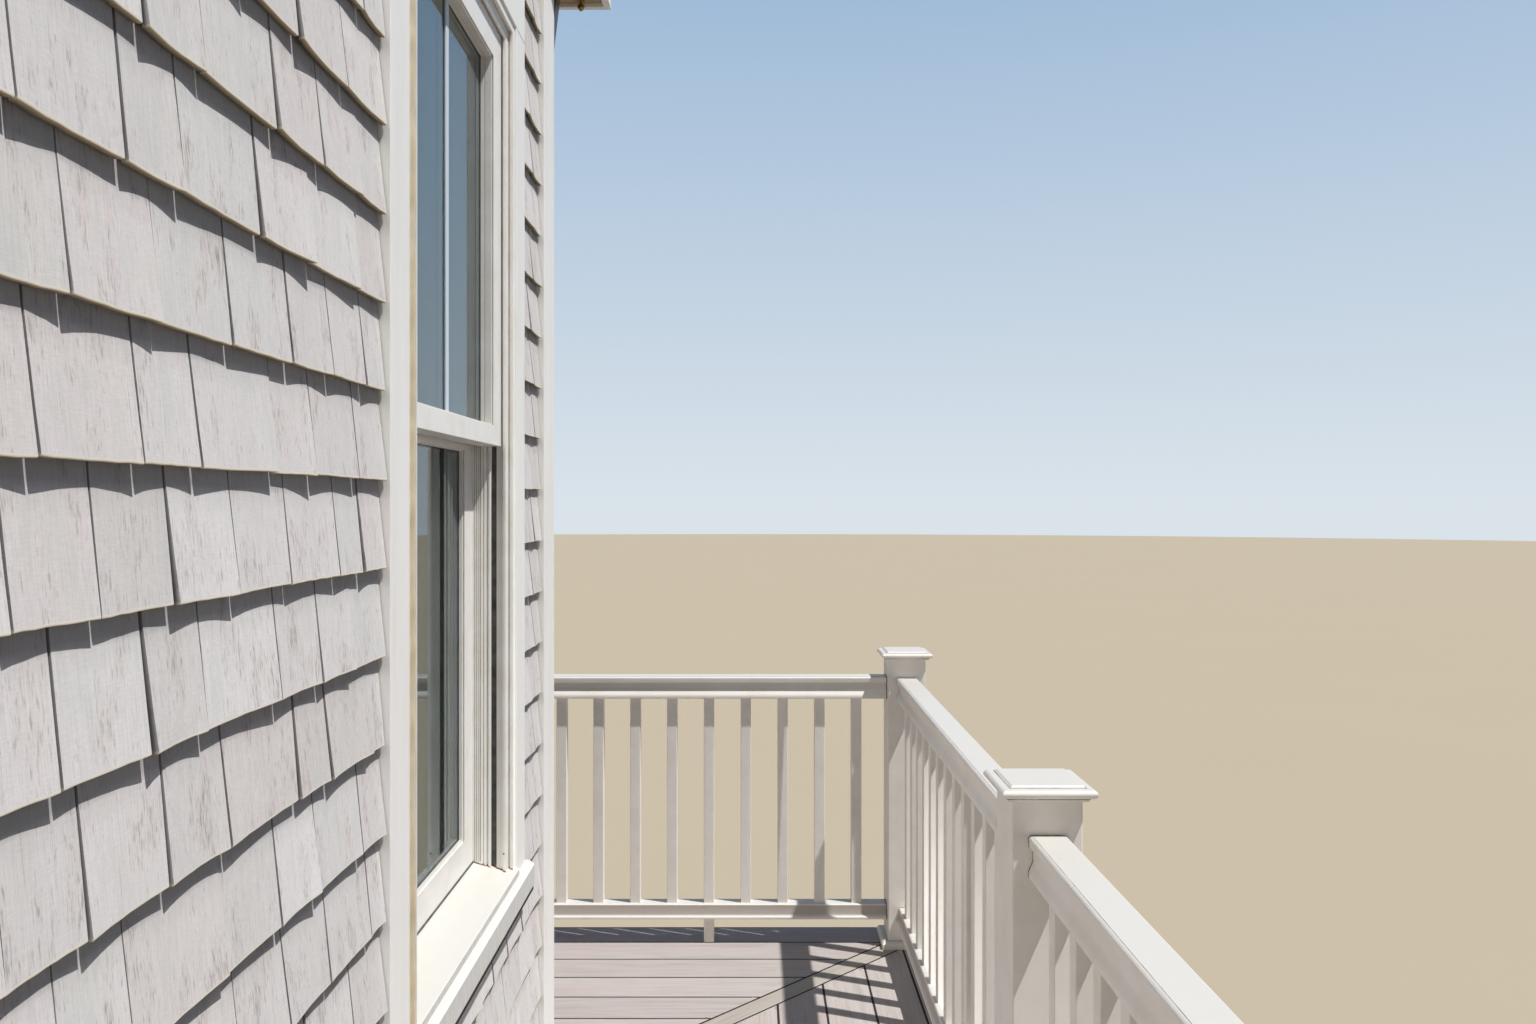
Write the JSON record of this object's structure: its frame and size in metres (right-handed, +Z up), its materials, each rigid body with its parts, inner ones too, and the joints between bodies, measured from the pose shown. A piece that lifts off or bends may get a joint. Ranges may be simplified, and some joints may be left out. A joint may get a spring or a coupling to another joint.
{
  "type": "beach house corner bay with wraparound deck",
  "caption": "Corner bay of a shingled beach house with a tall hung window, boxed eave and a raised wraparound deck behind a white baluster railing.",
  "frame": {"origin": "centre of the bounding box's bottom face, on the ground", "axes": "+X out of the window wall, +Y out of the sea wall, +Z up"},
  "size_m": [3.429, 3.912, 5.6149],
  "materials": {
    "concrete": "cast concrete",
    "framing_lumber": "sawn softwood",
    "floor_lumber": "varnished boards",
    "wall_plaster": "matte plaster",
    "shingle_paint": "weathered paint on shingles",
    "trim_paint": "satin paint on trim boards",
    "window_vinyl": "extruded vinyl",
    "window_glass": "float glass",
    "roof_lumber": "sheathing boards",
    "roof_asphalt": "mineral granules",
    "soffit_paint": "satin paint",
    "gutter_metal": "mill sheet",
    "downspout_metal": "baked paint",
    "deck_composite": "embossed wood composite",
    "treated_lumber": "pressure treated softwood",
    "rail_vinyl": "extruded vinyl, satin"
  },
  "bodies": {
    "root": {"foundation": "concrete", "floor_frame": "framing_lumber", "floor_boards": "floor_lumber", "window_wall": "wall_plaster", "sea_wall": "wall_plaster", "party_wall_rear": "wall_plaster", "party_wall_side": "wall_plaster", "window_wall_shingles": "shingle_paint", "sea_wall_shingles": "shingle_paint", "corner_board": "trim_paint", "base_boards": "trim_paint", "window_casing": "trim_paint", "window_sill": "trim_paint", "window_frame": "window_vinyl", "upper_sash": "window_vinyl", "lower_sash": "window_vinyl", "upper_glass": "window_glass", "lower_glass": "window_glass", "rafters": "framing_lumber", "roof_boards": "roof_lumber", "roof_shingles": "roof_asphalt", "eave_soffit": "soffit_paint", "rake_soffit": "soffit_paint", "eave_fascia": "trim_paint", "eave_return": "trim_paint", "rake_board": "trim_paint", "eave_gutter": "gutter_metal", "downspout": "downspout_metal", "side_deck_boards": "deck_composite", "sea_deck_boards": "deck_composite", "mitre_board": "deck_composite", "deck_ledgers": "treated_lumber", "deck_rims": "treated_lumber", "deck_fascias": "trim_paint", "deck_joists": "treated_lumber", "deck_beams": "treated_lumber", "deck_posts": "treated_lumber", "deck_footings": "concrete", "rail_posts": "rail_vinyl", "post_caps": "rail_vinyl", "post_skirts": "rail_vinyl", "side_railing": "rail_vinyl", "sea_railing": "rail_vinyl", "rail_foot_blocks": "rail_vinyl"}
  },
  "joints": []
}
